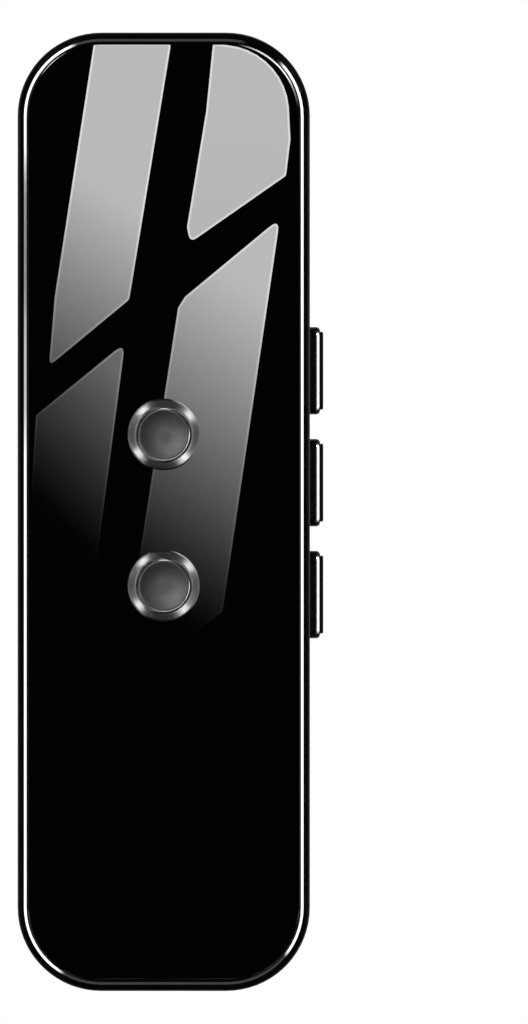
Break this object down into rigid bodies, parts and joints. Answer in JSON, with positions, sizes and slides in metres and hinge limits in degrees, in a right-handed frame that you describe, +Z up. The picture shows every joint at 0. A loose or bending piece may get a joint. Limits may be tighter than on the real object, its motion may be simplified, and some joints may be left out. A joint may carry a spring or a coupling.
{
  "type": "handheld voice translator",
  "caption": "Slim handheld voice translator: black glass front in a gloss frame with polished trim, round sprung front buttons, sprung side keys and a speaker grille in the grained back cover.",
  "frame": {"origin": "middle of the flat bottom end, on the plane it stands on, midway between the side walls and between the glass and the back cover", "axes": "+X to the right seen from the front, +Y from the glass to the back cover, +Z up the body from the bottom end"},
  "size_m": [0.0447, 0.012, 0.14],
  "materials": {
    "frame_gloss": "gloss black moulded plastic",
    "key_gloss": "gloss black moulded plastic",
    "trim_metal": "polished bright plating",
    "black_glass": "polished glass, black behind",
    "tape": "matte adhesive sheet",
    "cover_grain": "fine leather grain, satin",
    "bezel_metal": "turned, circular brushing",
    "cap_metal": "dark anodised, satin",
    "switch_black": "matte",
    "switch_plunger": "matte",
    "screw_steel": "satin",
    "board_green": "solder mask, satin",
    "chip_black": "matte",
    "shield_steel": "tinned, satin",
    "antenna_white": "ceramic",
    "cell_foil": "laminated foil",
    "lead_black": "insulation",
    "lead_red": "insulation",
    "connector_white": "matte",
    "basket_black": "matte",
    "magnet_iron": "nickel plated",
    "cone_black": "satin film",
    "foam_black": "closed foam",
    "mesh_black": "fine woven mesh",
    "capsule_metal": "drawn can",
    "boot_rubber": "matte",
    "pin_brass": "tinned",
    "socket_steel": "plated",
    "tongue_black": "moulded"
  },
  "bodies": {
    "housing": {"mid_frame": "frame_gloss", "front_glass": "black_glass", "glass_tape": "tape", "front_trim": "trim_metal", "rear_trim": "trim_metal", "back_cover": "cover_grain", "case_screws": "screw_steel", "upper_button_bezel": "bezel_metal", "lower_button_bezel": "bezel_metal", "upper_switch_body": "switch_black", "lower_switch_body": "switch_black", "volume_up_switch": "switch_black", "volume_down_switch": "switch_black", "power_switch": "switch_black", "main_board": "board_green", "board_screws": "screw_steel", "processor_chip": "chip_black", "memory_chip": "chip_black", "radio_shield": "shield_steel", "clock_crystal": "shield_steel", "chip_antenna": "antenna_white", "battery_cell": "cell_foil", "battery_tape": "tape", "battery_guard_board": "board_green", "battery_leads": "lead_red", "battery_connector": "connector_white", "speaker_basket": "basket_black", "speaker_magnet": "magnet_iron", "speaker_cone": "cone_black", "speaker_gasket": "foam_black", "speaker_mesh": "mesh_black", "speaker_leads": "lead_black", "microphone_capsule": "capsule_metal", "microphone_boot": "boot_rubber", "microphone_leads": "pin_brass", "usb_shell": "socket_steel", "usb_tongue": "tongue_black"},
    "upper_button": {"upper_button_cap": "cap_metal", "upper_switch_plunger": "switch_plunger"},
    "lower_button": {"lower_button_cap": "cap_metal", "lower_switch_plunger": "switch_plunger"},
    "volume_up": {"volume_up_key": "key_gloss", "volume_up_plunger": "switch_plunger"},
    "volume_down": {"volume_down_key": "key_gloss", "volume_down_plunger": "switch_plunger"},
    "power": {"power_key": "key_gloss", "power_plunger": "switch_plunger"}
  },
  "joints": [
    {"name": "upper_button_press", "type": "slide", "parent": "housing", "child": "upper_button", "axis": [0, 1, 0], "range_m": [0, 0.00035], "stiffness_N_per_m": 3000},
    {"name": "lower_button_press", "type": "slide", "parent": "housing", "child": "lower_button", "axis": [0, 1, 0], "range_m": [0, 0.00035], "stiffness_N_per_m": 3000},
    {"name": "volume_up_press", "type": "slide", "parent": "housing", "child": "volume_up", "axis": [-1, 0, 0], "range_m": [0, 0.0003], "stiffness_N_per_m": 3000},
    {"name": "volume_down_press", "type": "slide", "parent": "housing", "child": "volume_down", "axis": [-1, 0, 0], "range_m": [0, 0.0003], "stiffness_N_per_m": 3000},
    {"name": "power_press", "type": "slide", "parent": "housing", "child": "power", "axis": [-1, 0, 0], "range_m": [0, 0.0003], "stiffness_N_per_m": 3000}
  ]
}
